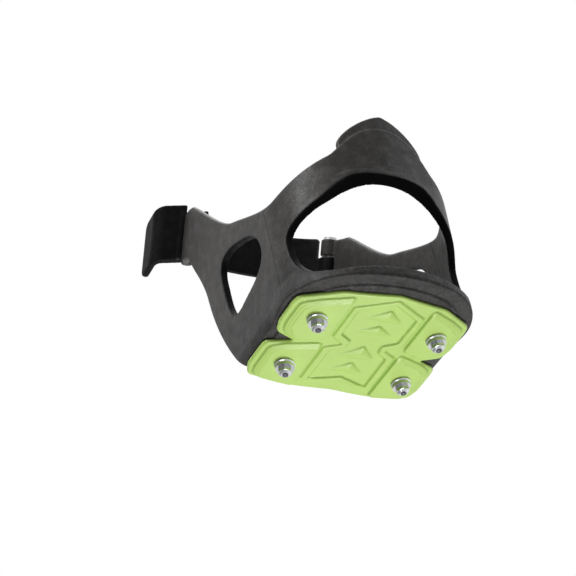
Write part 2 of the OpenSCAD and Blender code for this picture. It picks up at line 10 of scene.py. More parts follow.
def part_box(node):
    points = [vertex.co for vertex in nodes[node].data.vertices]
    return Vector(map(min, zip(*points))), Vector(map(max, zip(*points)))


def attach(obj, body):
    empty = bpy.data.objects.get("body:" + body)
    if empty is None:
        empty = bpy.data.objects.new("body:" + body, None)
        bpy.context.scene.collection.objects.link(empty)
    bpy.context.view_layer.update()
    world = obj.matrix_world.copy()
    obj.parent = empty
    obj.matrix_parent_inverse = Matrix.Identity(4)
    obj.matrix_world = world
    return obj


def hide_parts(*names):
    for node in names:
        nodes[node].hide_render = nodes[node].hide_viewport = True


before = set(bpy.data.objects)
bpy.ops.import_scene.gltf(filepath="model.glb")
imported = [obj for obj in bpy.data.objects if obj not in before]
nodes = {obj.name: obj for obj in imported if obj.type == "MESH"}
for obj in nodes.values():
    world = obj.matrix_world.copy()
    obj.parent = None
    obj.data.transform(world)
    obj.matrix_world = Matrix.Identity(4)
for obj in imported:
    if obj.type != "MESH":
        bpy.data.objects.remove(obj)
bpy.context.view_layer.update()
scene = bpy.context.scene
scene.view_settings.view_transform = "Standard"

# Main sizes of the part, as in its solids
# the cup: its plan, its wall and its rounded, flared lower edge
HALF_W, CORNER_R, BACK_R, WALL = 46.0, 36.0, 62.0, 3.6
BACK_Y, CORNER_X, CORNER_Y = 10.0, 10.0, -14.0
UNDER_R, ROUND_Z, FLARE, FLARE_FROM, FULL_Z = 5.0, -2.5, 1.3, 9.0, 1.0
SEAT_IN, SEAT_FRONT = 7.0, 32.5
BAND_TOP = 84.0
# the side hole: its middle and half its size
HOLE_Y, HOLE_Z, HOLE_HALF_L, HOLE_HALF_H = 16.5, 44.0, 21.25, 19.25
# the curved sole and the plate's levels on it
SOLE_R, SOLE_Z = 340.0, 331.6
PLATE_TOP_R, BORDER_R, PANEL_DEPTH, RIB_H, OUTER_STEP, PAD_STEP = 336.4, 338.6, 0.3, 0.8, 0.9, 1.4
WEDGE_H, WEDGE_PEAK, WEDGE_LOW, RIDGE_H, RIDGE_FALL = 1.5, 0.55, 0.4, 2.42, 1.67
STUDS = [(-30.0, -17.5), (30.0, -17.5), (-30.0, 17.5), (30.0, 17.5)]
POCKET_R, POCKET_DEPTH = 6.6, 5.0
# the arms, which rise along a slope and curl in at their ends
TILT = math.radians(28)
COS, SIN = math.cos(TILT), math.sin(TILT)
REACH, ARM_LOW, ARM_W, CURL_R = 106.5, 48.4, 27.0, 32.0
ARM_MID = ARM_LOW + ARM_W / 2
CURL_X, MID_R = HALF_W - CURL_R, CURL_R - WALL / 2
END_DEG = 30
END = math.radians(END_DEG)
# the hinge at the end of the right arm and the bead at the end of the left one
HINGE_X, HINGE_U = CURL_X + MID_R * math.cos(END), REACH + MID_R * math.sin(END)
BEAD_R, KNUCKLE_R, GAP = 3.0, 4.6, 0.4
KNUCKLE_W = (ARM_W - 2 * GAP) / 3
# the strap, its pull tab and its tongue
STRAP_T, STRAP_W, TAB_W = 3.6, 24.0, 29.5
STRAP_MID = ARM_MID + 2.6
TAB_MID = STRAP_MID + 1.3
TONGUE_T, TONGUE_LEN = 2.4, 14.0

# Form that is in the looks only
# lean of the back band, rounder edge along the sides, lip over the window, ledge and ditch
LEAN, LEAN_FROM = 2.5, 60.0
EDGE_R, EDGE_Z = 12.0, 4.0
LIP_H, LIP_W = 0.9, 2.9
LEDGE_H, LEDGE_IN = 1.0, 5.6
DITCH_R, DITCH_OUT = 1.3, 0.3


# Outlines

def bezier(a, b, c, d, n=16):
    t = np.linspace(0, 1, n, endpoint=False)[:, None]
    a, b, c, d = (np.array(p, float) for p in (a, b, c, d))
    s = 1 - t
    return s**3 * a + 3 * s * s * t * b + 3 * s * t * t * c + t**3 * d


def arc(centre, r, start, stop, n=20):
    a = np.radians(np.linspace(start, stop, n, endpoint=False))
    return np.array(centre) + r * np.stack([np.cos(a), np.sin(a)], 1)


def outline(*parts):
    return np.concatenate([np.array(p, float).reshape(-1, 2) for p in parts])


def rounded(points, r, n=6):
    """An outline with each corner rounded over a length r along both its edges."""
    points = np.array(points, float)
    t = np.linspace(0, 1, n)[:, None]
    parts = []
    for before, here, after in zip(np.roll(points, 1, 0), points, np.roll(points, -1, 0)):
        to, go = before - here, after - here
        reach_to, reach_go = np.linalg.norm(to), np.linalg.norm(go)
        a = here + to * min(r, 0.45 * reach_to) / reach_to
        b = here + go * min(r, 0.45 * reach_go) / reach_go
        parts.append((1 - t) ** 2 * a + 2 * t * (1 - t) * here + t**2 * b)
    return np.concatenate(parts)


def on_slope(u, w):
    """Side view place (y, z) of a point at u along the arms' slope and w square to it."""
    return np.array([u * COS - w * SIN, u * SIN + w * COS])


def mirrored(half):
    half = np.array(half, float)
    return np.concatenate([half, [(-x, y) for x, y in half[::-1] if x > 0.01]])


LOW, HIGH = on_slope(REACH, ARM_LOW), on_slope(REACH, ARM_LOW + ARM_W)
ALONG = np.array([COS, SIN])
side_line = outline(
    [(-200, -200), (27, -200)],
    bezier((27, -6), (36, 5), (49.5, 27), (54.5, 52)),
    bezier((54.5, 52), (57.5, 68), LOW - (5, 14), LOW),
    [LOW, LOW + 17 * ALONG, HIGH + 17 * ALONG],
    bezier(HIGH, HIGH - (9.5, 10.5), (33, 83.2), (20.5, 75.6)),
    bezier((20.5, 75.6), (9, 69.6), (-11, 55.9), (-19, 55.6)),
    bezier((-19, 55.6), (-26, 55.1), (-39.9, 62.2), (-44.9, 66.4)),
    bezier((-44.9, 66.4), (-46.8, 68.1), (-49.4, 79), (-52, BAND_TOP)),
    [(-52, BAND_TOP), (-200, BAND_TOP)],
)
window_line = outline(
    [(-200, 0.5)],
    bezier((-46, 0.5), (-34, 1.5), (-25.5, 12), (-25.5, 27.5)),
    bezier((-25.5, 27.5), (-25.5, 34), (-33.9, 37.1), (-40.9, 42.1)),
    bezier((-40.9, 42.1), (-44.5, 44.6), (-48.5, 53.9), (-52.5, 54.5)),
    [(-52.5, 54.5), (-200, 54.5)],
)


def hole_at(across, up):
    return (HOLE_Y + HOLE_HALF_L * across, HOLE_Z + HOLE_HALF_H * up)


hole_line = outline(
    bezier(hole_at(-1, -.3), hole_at(-1, -.85), hole_at(-.2, -.85), hole_at(.2, -.98)),
    bezier(hole_at(.2, -.98), hole_at(.75, -1.1), hole_at(.85, -.5), hole_at(.93, .2)),
    bezier(hole_at(.93, .2), hole_at(1.08, 1), hole_at(.75, 1.1), hole_at(.2, .9)),
    bezier(hole_at(.2, .9), hole_at(-.4, .65), hole_at(-1, .35), hole_at(-1, -.3)),
)
flap_line = outline(
    [(-22, 67.5)],
    bezier((-22, 73.5), (-22, 79), (-8.1, 88.7), (0, 90.5)),
    bezier((0, 90.5), (8.1, 88.7), (22, 79), (22, 73.5)),
    [(22, 73.5), (22, 67.5)],
)
plate_line = rounded(mirrored([
    (0, -42), (25.7, -37.2), (42.6, -26.8), (44, -23), (44, -8), (42.2, -1), (32, 2.1), (43, 7.4), (44, 10),
    (44.4, 26), (41.8, 32.7), (20, 33.5), (0, 31.5)]), 2.4)
rear_terrace = rounded(
    [(19.6, -36.6), (33, -30), (41, -24.4), (41.3, -8.6), (40, -3.4), (33, .3), (19.6, -5)], 2.6)
rear_pad = rounded(
    [(19.6, -33.8), (32, -27.6), (38, -22.3), (38.5, -7.8), (35, -2.4), (33, -1.2), (19.6, -5.8)], 2.4)
front_terrace = rounded(
    [(19.6, -1.6), (24, -.2), (35.5, 4.6), (41.2, 9), (41.4, 26), (39.8, 31.4), (19.6, 32.2)], 2.6)
front_pad = rounded(
    [(19.6, 1.2), (24, 2.6), (34, 6.6), (38.6, 10.8), (38.6, 26), (37.5, 31.2), (19.6, 31.8)], 2.4)
rib_line = rounded(mirrored(
    [(0, -39.4), (17.5, -29.8), (17.5, -7.5), (10.6, -3.4), (18.1, .9), (18.1, 26.5), (0, 22.7)]), 1.0)
panel_line = rounded(mirrored(
    [(0, -36.4), (14.9, -28), (14.5, -10), (8, -6.3), (8.6, -1.2), (14.5, 2.4), (14.9, 25.7), (0, 20)]), 1.0)
# pyramids of the panel: base line, half width and run
wedges = [(-23.5, 9, 8.2), (-13.8, 8.8, 6.2), (5.2, 9, 9.4), (16.2, 8.3, 7.6)]


# Distance fields: below zero inside

def from_outline(px, py, points):
    """Distance from places in a plane to a closed outline."""
    points = np.array(points, float)
    px, py = np.broadcast_arrays(px, py)
    nearest = np.full(px.shape, 1e12)
    inside = np.zeros(px.shape, bool)
    for (ax, ay), (bx, by) in zip(points, np.roll(points, -1, 0)):
        ex, ey = bx - ax, by - ay
        t = np.clip(((px - ax) * ex + (py - ay) * ey) / (ex * ex + ey * ey), 0, 1)
        nearest = np.minimum(nearest, (px - ax - t * ex) ** 2 + (py - ay - t * ey) ** 2)
        if ay != by:
            inside ^= ((ay > py) != (by > py)) & (px < ax + (py - ay) * ex / ey)
    return np.where(inside, -1.0, 1.0) * np.sqrt(nearest)


def both(a, b, r):
    """Where both hold, with the edge between them rounded."""
    return np.minimum(-r, np.maximum(a, b)) + np.hypot(np.maximum(a + r, 0), np.maximum(b + r, 0))


def either(a, b, r):
    """Where one or the other holds, with a fillet between them."""
    return -both(-a, -b, r)


def less(a, b, r):
    """Where the first holds and the second doesn't, with the edge between them rounded."""
    return both(a, -b, r)


def step_up(d, width):
    """0 outside an outline, 1 inside it, with a soft step."""
    t = np.clip(0.5 - d / width, 0, 1)
    return t * t * (3 - 2 * t)


def plan_distance(x, y):
    """Distance to the cup's outer wall, seen from above."""
    ax = np.abs(x)
    back = np.hypot(x, y - BACK_Y) - BACK_R
    corner = np.hypot(ax - CORNER_X, y - CORNER_Y) - CORNER_R
    in_back = (y < BACK_Y) & (ax < (BACK_Y - y) * CORNER_X / (BACK_Y - CORNER_Y))
    return np.where(y >= CORNER_Y, ax - HALF_W, np.where(in_back, back, corner))


def harness_field(x, y, z):
    ax = np.abs(x)
    u, w = y * COS + z * SIN, z * COS - y * SIN
    off_plate = from_outline(x, y, plate_line)
    # the back band leans back towards its top
    lean = LEAN * np.maximum(z - LEAN_FROM, 0) / (BAND_TOP - LEAN_FROM)
    y = y + np.where(y < CORNER_Y, lean, 0)
    plan = plan_distance(x, y)
    curl = (u > REACH) & (w > 40) & (y > 20)
    plan = np.where(curl, np.hypot(ax - CURL_X, u - REACH) - CURL_R, plan)
    window = from_outline(y, z, window_line)
    side = from_outline(y, z, side_line)
    hole = from_outline(y, z, hole_line)
    flap = from_outline(x, z, flap_line)
    low = np.clip(ROUND_Z - z, 0, 4.5)
    flare = FLARE * np.clip((FLARE_FROM - z) / (FLARE_FROM - FULL_Z), 0, 1)
    rim = flare - UNDER_R + np.sqrt(UNDER_R**2 - low**2)
    # along the sides the flare gives way to a rounder edge that ends flush with the plate
    flush = step_up(-12 - y, 26)
    edge = np.sqrt(EDGE_R**2 - np.clip(EDGE_Z - z, 0, EDGE_R - 1) ** 2) - EDGE_R
    rim = rim + flush * (edge - rim)
    # raised lip over the middle of the window
    middle = np.clip((27 - ax) / 9, 0, 1) * np.clip((z - 30) / 14, 0, 1)
    lip = LIP_H * step_up(window - LIP_W, 0.7) * step_up(-window, 0.6) * middle
    outside = plan - rim - lip
    hollow = both(plan + WALL, -z, 3.0)
    cup = less(outside, hollow, 0.8)
    cup = both(cup, side, 1.4)
    cup = less(cup, window, 0.6)
    cup = less(cup, hole, 0.6)
    seat = both(both(plan + SEAT_IN, z, 0.8), y - SEAT_FRONT, 0.8)
    body = np.minimum(cup, seat)
    # ledge of rubber behind the plate's rear edge
    ledge = LEDGE_H * step_up(plan + LEDGE_IN, 0.9) * step_up(0.35 - off_plate, 0.3)
    under = np.hypot(x, z - SOLE_Z) - PLATE_TOP_R - ledge
    body = both(body, under, 0.5)
    # pull flap that stands up from the back band
    crescent = both(np.maximum(plan + 1.2, -plan - WALL), np.where(y < 0, flap, 9.0), 0.9)
    body = either(body, crescent, 0.6)
    # end of the left arm: a round bead with a ditch behind it
    across = np.abs(w - ARM_MID) - ARM_W / 2
    rod = np.hypot(ax - HINGE_X, u - HINGE_U)
    past = np.cos(END) * (u - REACH) - np.sin(END) * (ax - CURL_X)
    body = np.where(curl, both(body, past, 0.4), body)
    bead = both(rod - BEAD_R, across, 1.2)
    left = either(body, bead, 0.3)
    behind = END - (BEAD_R + DITCH_R) / MID_R
    ditch_x = CURL_X + (CURL_R + DITCH_OUT) * math.cos(behind)
    ditch_u = REACH + (CURL_R + DITCH_OUT) * math.sin(behind)
    left = less(left, np.maximum(np.hypot(ax - ditch_x, u - ditch_u) - DITCH_R, across + 3), 0.4)
    # end of the right arm: two knuckles with room for the strap's own between them
    from_knuckle = np.abs(np.abs(w - ARM_MID) - (ARM_W - KNUCKLE_W) / 2) - KNUCKLE_W / 2
    knuckle = both(rod - KNUCKLE_R, from_knuckle, 0.5)
    slot = np.maximum(rod - KNUCKLE_R - 0.65, np.abs(w - ARM_MID) - KNUCKLE_W / 2 - GAP - 0.15)
    right = less(np.minimum(body, knuckle), slot, 0.4)
    body = np.where(curl, np.where(x < 0, left, right), body)
    # pockets for the T-nuts in the seat
    radius = np.hypot(x, z - SOLE_Z)
    turn = np.arctan2(x, SOLE_Z - z)
    for sx, sy in STUDS:
        pocket = np.hypot(SOLE_R * (turn - math.asin(sx / SOLE_R)), y - sy) - POCKET_R
        body = less(body, np.maximum(pocket, radius - (SOLE_R - POCKET_DEPTH)), 0.3)
    return body


def plate_field(x, y, z):
    ax = np.abs(x)
    level = BORDER_R + np.zeros(np.broadcast_shapes(x.shape, y.shape))
    rib, panel = from_outline(x, y, rib_line), from_outline(x, y, panel_line)
    level = level + RIB_H * step_up(rib, 0.8) - (RIB_H + PANEL_DEPTH) * step_up(panel, 0.8)
    thin = (PAD_STEP - OUTER_STEP) / 2
    for terrace, pad in ((rear_terrace, rear_pad), (front_terrace, front_pad)):
        step, face = from_outline(ax, y, terrace), from_outline(ax, y, pad)
        level = level + OUTER_STEP * step_up(step, 0.7)
        level = level + thin * (step_up((step + face) / 2, 0.6) + step_up(face, 0.6))
    for base, half, run in wedges:
        along = (base - y) / run
        edge = (half * run * (1 - along) - run * ax) / np.hypot(half, run)
        sides = np.maximum(RIDGE_H - RIDGE_FALL * along - RIDGE_H * ax / half, WEDGE_LOW)
        rise = np.minimum(sides, WEDGE_H * along / WEDGE_PEAK) * step_up(-edge, 0.6)
        level = level + np.maximum(rise, 0)
    radius = np.hypot(x, z - SOLE_Z)
    body = both(radius - level, PLATE_TOP_R - radius, 0.3)
    return both(body, from_outline(x, y, plate_line), 1.0)


# Middle line of the strap in the slope's frame
BACK_MID = 80 - STRAP_T / 2
STRAP_TURN = math.degrees(math.acos(CURL_X / (BACK_MID - MID_R)))
BACK_U = REACH - (BACK_MID - MID_R) * math.sin(math.radians(STRAP_TURN))
S_R, S_FROM, S_TO = 6.0, 46.0, 16.0
TAB_LEN, TAB_R, TAB_END = 10.5, 5.0, 10.0
NECK = END_DEG + 2 * math.degrees(math.asin((KNUCKLE_R + GAP + STRAP_T / 2) / (2 * MID_R)))


def direction(angle):
    return np.array([math.cos(math.radians(angle)), math.sin(math.radians(angle))])


s_start = np.array([-CURL_X, REACH]) + MID_R * direction(180 - S_FROM)
s_centre = s_start + S_R * direction(180 - S_FROM)
tab_start = s_centre + S_R * direction(-90 - S_TO)
tab_way, tab_front = direction(180 - S_TO), direction(90 - S_TO)
tab_centre = tab_start + TAB_LEN * tab_way + TAB_R * tab_front
tab_tip = tab_centre + (-TAB_R, TAB_END)


def band_face(d):
    """The strap's middle line from the hinge to the tab, moved out by d."""
    return outline(
        arc((CURL_X, REACH), MID_R + d, NECK, STRAP_TURN),
        arc((0, BACK_U), BACK_MID + d, STRAP_TURN, 180 - STRAP_TURN),
        arc((-CURL_X, REACH), MID_R + d, 180 - STRAP_TURN, 180 - S_FROM),
        arc(s_centre, S_R - d, -S_FROM, -90 - S_TO),
        [tab_start + d * tab_front, tab_start + TAB_LEN / 4 * tab_way + d * tab_front],
    )


def tab_face(d):
    """The pull tab's middle line, moved out by d."""
    return outline(
        [tab_start + d * tab_front],
        arc(tab_centre, TAB_R - d, 270 - S_TO, 180),
        [tab_centre + (d - TAB_R, 0), tab_tip + (d, 0)],
    )


band_line = outline(band_face(STRAP_T / 2), band_face(-STRAP_T / 2)[::-1])
tab_line = outline(tab_face(STRAP_T / 2), tab_face(-STRAP_T / 2)[::-1])
neck_line = outline(
    arc((CURL_X, REACH), MID_R + STRAP_T / 2, END_DEG, NECK + 6),
    arc((CURL_X, REACH), MID_R - STRAP_T / 2, NECK + 6, END_DEG),
)
TAB_LOW = on_slope(tab_start[1], TAB_MID - TAB_W / 2)[1]
TAB_HIGH = on_slope(tab_start[1], TAB_MID + TAB_W / 2)[1]
TONGUE_X = -HINGE_X + BEAD_R + 2.5 * GAP
TONGUE_U = HINGE_U + BEAD_R + GAP - 12


def strap_field(x, u, w):
    """The strap in the slope's frame: x across, u along the slope, w square to it."""
    z = u * SIN + w * COS
    across = np.abs(w - STRAP_MID) - STRAP_W / 2
    band = both(from_outline(x, u, band_line), across, 1.2)
    tab_height = np.abs(z - (TAB_LOW + TAB_HIGH) / 2) - (TAB_HIGH - TAB_LOW) / 2
    tab_across = both(tab_height, u - tab_tip[1], 3.6)
    tab = both(from_outline(x, u, tab_line), tab_across, 1.3)
    body = either(band, tab, 1.0)
    thin, long = TONGUE_T / 2, TONGUE_LEN / 2
    tongue = both(np.abs(x - TONGUE_X - thin) - thin, np.abs(u - TONGUE_U - long) - long, 0.9)
    body = either(body, both(tongue, across, 0.9), 0.6)
    inner = np.abs(w - ARM_MID) - KNUCKLE_W / 2 + GAP
    rod = np.hypot(x - HINGE_X, u - HINGE_U)
    loop = np.minimum(both(rod - KNUCKLE_R, inner, 0.4), both(from_outline(x, u, neck_line), inner, 0.4))
    return np.minimum(body, loop)


# Meshing

def skin(name, field, low, high, step, place=None):
    """Meshes the surface of a field on a grid, pulls its points onto it and returns a smooth-shaded object."""
    axes = [np.arange(a, b + step, step) for a, b in zip(low, high)]
    grid = np.meshgrid(*axes, indexing="ij", sparse=True)
    value = np.ascontiguousarray(np.broadcast_to(field(*grid), [len(a) for a in axes]))
    cells = np.array(value.shape) - 1
    count = np.zeros(cells.prod())
    total = np.zeros((3, cells.prod()))
    quads = []
    for axis in range(3):
        one, two = (axis + 1) % 3, (axis + 2) % 3
        a = np.take(value, np.arange(cells[axis]), axis)
        b = np.take(value, np.arange(1, cells[axis] + 1), axis)
        at = np.argwhere((a < 0) != (b < 0))
        va, vb = a[tuple(at.T)], b[tuple(at.T)]
        keep = (at[:, one] > 0) & (at[:, two] > 0) & (at[:, one] < cells[one]) & (at[:, two] < cells[two])
        at, va, vb = at[keep], va[keep], vb[keep]
        point = at.astype(float)
        point[:, axis] += va / (va - vb)
        ring = []
        for d_one, d_two in ((0, 0), (-1, 0), (-1, -1), (0, -1)):
            cell = at.copy()
            cell[:, one] += d_one
            cell[:, two] += d_two
            index = np.ravel_multi_index(tuple(cell.T), tuple(cells))
            ring.append(index)
            count += np.bincount(index, minlength=len(count))
            for k in range(3):
                total[k] += np.bincount(index, point[:, k], minlength=len(count))
        ring = np.stack(ring, 1)
        quads.append(np.where((va < 0)[:, None], ring, ring[:, ::-1]))
    used = np.flatnonzero(count)
    number = np.full(len(count), -1)
    number[used] = np.arange(len(used))
    faces = number[np.concatenate(quads)]
    points = (total[:, used] / count[used]).T * step + np.array(low)
    probe = 0.05
    for _ in range(2):
        here = field(*points.T)
        slope = np.stack([(field(*(points + probe * way).T) - here) / probe for way in np.eye(3)], 1)
        move = -here[:, None] * slope / np.maximum((slope**2).sum(1), 0.25)[:, None]
        length = np.linalg.norm(move, axis=1, keepdims=True)
        points += move * np.minimum(1, 0.5 * step / np.maximum(length, 1e-9))
    if place is not None:
        points = place(points)
    mesh = bpy.data.meshes.new(name)
    mesh.from_pydata((points / 1000).tolist(), [], faces.tolist())
    mesh.polygons.foreach_set("use_smooth", np.ones(len(mesh.polygons), bool))
    mesh.update()
    piece = bpy.data.objects.new(name, mesh)
    scene.collection.objects.link(piece)
    return piece


def from_slope(points):
    x, u, w = points.T
    return np.stack([x, u * COS - w * SIN, u * SIN + w * COS], 1)


def shade_cut_walls(piece):
    """Marks the cut faces of the window and the side holes, where shade is painted: they are darkened as if in
    shadow.
    """
    points = np.array([v.co for v in piece.data.vertices]) * 1000
    x, y, z = points.T
    near = np.minimum(np.abs(from_outline(y, z, window_line)), np.abs(from_outline(y, z, hole_line)))
    mark = piece.data.attributes.new("cut", "FLOAT", "POINT")
    mark.data.foreach_set("value", np.clip((0.6 - near) / 0.4, 0, 1))


coarse = 1.0
harness = skin("harness_moulding", harness_field, (-49.3, -56.3, -8.3), (49.3, 90.3, 128.3), 0.65 * coarse)
plate = skin("plate_moulding", plate_field, (-46.3, -43.8, -12.3), (46.3, 35.3, 0.3), 0.5 * coarse)
strap = skin("strap_moulding", strap_field, (-64.3, 96.3, 32.3), (48.3, 144.3, 96.3), 0.6 * coarse, from_slope)
shade_cut_walls(harness)
for piece, body, node, slot in (
    (harness, "spur", "harness", "harness_rubber"),
    (plate, "spur", "traction_plate", "plate_lime"),
    (strap, "strap", "instep_strap", "strap_rubber"),
):
    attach(piece, body)
    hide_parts(node)


# Materials

class Nodes:
    """A material's node tree, with short ways to add and join nodes."""

    def __init__(self, name):
        self.material = bpy.data.materials.new(name)
        self.material.use_nodes = True
        self.tree = self.material.node_tree
        self.shader = self.tree.nodes["Principled BSDF"]

    def add(self, kind, **inputs):
        node = self.tree.nodes.new("ShaderNode" + kind)
        for key, value in inputs.items():
            key = key.replace("_", " ")
            if hasattr(value, "is_output"):
                self.tree.links.new(value, node.inputs[key])
            else:
                node.inputs[key].default_value = value
        return node

    def math(self, operation, a, b=0.0):
        node = self.tree.nodes.new("ShaderNodeMath")
        node.operation = operation
        for socket, value in zip(node.inputs, (a, b)):
            if hasattr(value, "is_output"):
                self.tree.links.new(value, socket)
            else:
                socket.default_value = value
        return node.outputs[0]

    def ramp(self, factor, low, high, start=0.0, stop=1.0):
        node = self.tree.nodes.new("ShaderNodeMapRange")
        node.inputs["From Min"].default_value = low
        node.inputs["From Max"].default_value = high
        node.inputs["To Min"].default_value = start
        node.inputs["To Max"].default_value = stop
        self.tree.links.new(factor, node.inputs["Value"])
        return node.outputs["Result"]

    def mix(self, factor, a, b):
        node = self.tree.nodes.new("ShaderNodeMix")
        node.data_type = "RGBA"
        for index, value in ((0, factor), (6, a), (7, b)):
            if hasattr(value, "is_output"):
                self.tree.links.new(value, node.inputs[index])
            else:
                node.inputs[index].default_value = value
        return node.outputs[2]

    def join(self, output, key):
        self.tree.links.new(output, self.shader.inputs[key])

    def bump(self, height, strength, distance, normal=None):
        node = self.add("Bump", Strength=strength, Distance=distance, Height=height)
        if normal is not None:
            self.tree.links.new(normal, node.inputs["Normal"])
        return node.outputs["Normal"]


def rgb(*levels):
    """A colour as it shows on screen, made linear."""
    shown = [level / 255 for level in levels]
    return [v / 12.92 if v <= 0.04045 else ((v + 0.055) / 1.055) ** 2.4 for v in shown] + [1.0]


def scaled(colour, factor):
    """A darker or lighter colour."""
    return [min(1.0, factor * v) for v in colour[:3]] + [1.0]


def rubber(name, base, wear_and_sheen_colour, edge_wear_and_sheen, roughness, shine, grain, seam=False):
    m = Nodes(name)
    place = m.add("TexCoord").outputs["Object"]
    cloud = m.add("TexNoise", Vector=place, Scale=38.0, Detail=5.0, Roughness=0.6).outputs["Fac"]
    fine = m.add("TexNoise", Vector=place, Scale=1500.0, Detail=3.0, Roughness=0.55).outputs["Fac"]
    pebble = m.add("TexVoronoi", Vector=place, Scale=820.0)
    mottle = m.add("TexNoise", Vector=place, Scale=190.0, Detail=6.0, Roughness=0.7).outputs["Fac"]
    edge = m.add("NewGeometry").outputs["Pointiness"]
    # lighter along the edges: edge wear, and on the strap also a painted highlight along its rounded edges
    edge_rub_and_sheen = m.ramp(edge, 0.52, 0.6, 0.0, edge_wear_and_sheen)
    edge_rub_and_sheen = m.math("MULTIPLY", edge_rub_and_sheen, m.ramp(cloud, 0.35, 0.65, 0.35, 1.0))
    shade = m.mix(m.ramp(cloud, 0.3, 0.7), scaled(base, 0.8), scaled(base, 1.2))
    shade = m.mix(m.ramp(mottle, 0.5, 0.75, 0.0, 0.22 if seam else 0.01), shade, wear_and_sheen_colour)
    shade = m.mix(edge_rub_and_sheen, shade, wear_and_sheen_colour)
    shade = m.mix(m.ramp(fine, 0.35, 0.65, 0.0, 0.3), shade, scaled(base, 0.4))
    height = m.math("ADD", m.math("MULTIPLY", pebble.outputs["Distance"], 0.6), fine)
    normal = m.bump(height, grain, 0.00025)
    gloss = m.ramp(mottle, 0.35, 0.65, 0.65 * shine, 1.3 * shine)
    if seam:
        split = m.add("SeparateXYZ", Vector=place).outputs
        # coarse grain round the rim
        speck = m.add("TexNoise", Vector=place, Scale=620.0, Detail=4.0, Roughness=0.7).outputs["Fac"]
        rough = m.math("MULTIPLY", m.ramp(split[2], 0.004, -0.002), m.ramp(speck, 0.45, 0.7))
        shade = m.mix(m.math("MULTIPLY", rough, 0.3), shade, wear_and_sheen_colour)
        normal = m.bump(rough, 0.35, 0.0005, normal)
        # moulding seam down the side
        line = m.math("ADD", m.math("MULTIPLY", split[2], -0.1), split[1])
        away = m.math("ABSOLUTE", m.math("ADD", line, 0.0185))
        groove = m.ramp(away, 0.0002, 0.0006, 1.0, 0.0)
        normal = m.bump(groove, 0.2, -0.0006, normal)
        shade = m.mix(m.math("MULTIPLY", groove, 0.9), shade, scaled(base, 0.15))
        # painted shade: darker towards the sole, where the light falls off
        shade = m.mix(m.ramp(split[2], 0.03, 0.0, 0.0, 0.55), shade, scaled(base, 0.25))
        # cut walls of the window and holes: painted shade, darkened as if in shadow, and dull
        cut = m.add("Attribute")
        cut.attribute_name = "cut"
        shade = m.mix(m.math("MULTIPLY", cut.outputs["Fac"], 0.85), shade, rgb(16, 16, 17))
        gloss = m.math("MULTIPLY", gloss, m.ramp(cut.outputs["Fac"], 0.0, 1.0, 1.0, 0.05))
    m.join(shade, "Base Color")
    m.join(m.ramp(fine, 0.3, 0.7, roughness - 0.06, roughness + 0.08), "Roughness")
    m.join(normal, "Normal")
    m.join(gloss, "Specular IOR Level")
    return m.material


def plastic(name, base, groove):
    m = Nodes(name)
    place = m.add("TexCoord").outputs["Object"]
    cloud = m.add("TexNoise", Vector=place, Scale=60.0, Detail=4.0, Roughness=0.55).outputs["Fac"]
    fine = m.add("TexNoise", Vector=place, Scale=1100.0, Detail=4.0, Roughness=0.6).outputs["Fac"]
    edge = m.add("NewGeometry").outputs["Pointiness"]
    shade = m.mix(m.ramp(cloud, 0.3, 0.7, 0.0, 0.5), base, scaled(base, 0.86))
    # painted shade: darker in the concave creases and at the foot of the walls
    shade = m.mix(m.ramp(edge, 0.5, 0.42, 0.0, 0.9), shade, groove)
    # painted highlight: lighter along the convex edges
    shade = m.mix(m.ramp(edge, 0.53, 0.6, 0.0, 0.35), shade, scaled(base, 1.25))
    m.join(shade, "Base Color")
    m.join(m.ramp(fine, 0.3, 0.7, 0.36, 0.52), "Roughness")
    m.join(m.bump(fine, 0.08, 0.0002), "Normal")
    m.shader.inputs["Subsurface Weight"].default_value = 0.06
    m.shader.inputs["Subsurface Radius"].default_value = (0.002, 0.002, 0.0008)
    return m.material


def metal(name, base, low, high, lines, painted_left_shade=0.0):
    m = Nodes(name)
    place = m.add("TexCoord").outputs["Object"]
    cloud = m.add("TexNoise", Vector=place, Scale=420.0, Detail=4.0, Roughness=0.6).outputs["Fac"]
    fine = m.add("TexNoise", Vector=place, Scale=lines, Detail=5.0, Roughness=0.65).outputs["Fac"]
    shade = m.mix(m.ramp(cloud, 0.35, 0.7), base, scaled(base, 0.78))
    # painted shade: the metal's colour is darkened on the sides that face left, in place of the dark
    # reflections those sides show
    facing = m.add("SeparateXYZ", Vector=m.add("TexCoord").outputs["Normal"]).outputs
    shade = m.mix(m.ramp(facing[0], 0.35, -0.75, 0.0, painted_left_shade), shade, scaled(base, 0.12))
    m.join(shade, "Base Color")
    m.join(m.ramp(fine, 0.3, 0.7, low, high), "Roughness")
    m.join(m.bump(fine, 0.06, 0.0001), "Normal")
    m.shader.inputs["Metallic"].default_value = 1.0
    return m.material


black = rubber(
    "harness_rubber_grain", rgb(49, 47, 46), rgb(92, 90, 88),
    edge_wear_and_sheen=0.12, roughness=0.43, shine=0.2, grain=0.34, seam=True)
strap_black = rubber(
    "strap_rubber_grain", rgb(16, 16, 16), rgb(120, 120, 120), edge_wear_and_sheen=0.5, roughness=0.45, shine=0.05, grain=0.2)
lime = plastic("plate_lime_moulded", rgb(176, 208, 104), rgb(110, 152, 40))
bright = metal("bright_zinc", rgb(222, 224, 226), low=0.1, high=0.24, lines=1800.0, painted_left_shade=0.7)
hard = metal("ground_hard_tip", rgb(84, 85, 88), low=0.3, high=0.5, lines=2600.0)
plain = metal("plated_steel", rgb(186, 188, 190), low=0.28, high=0.48, lines=1500.0)


def dress(piece, material):
    piece.data.materials.clear()
    piece.data.materials.append(material)


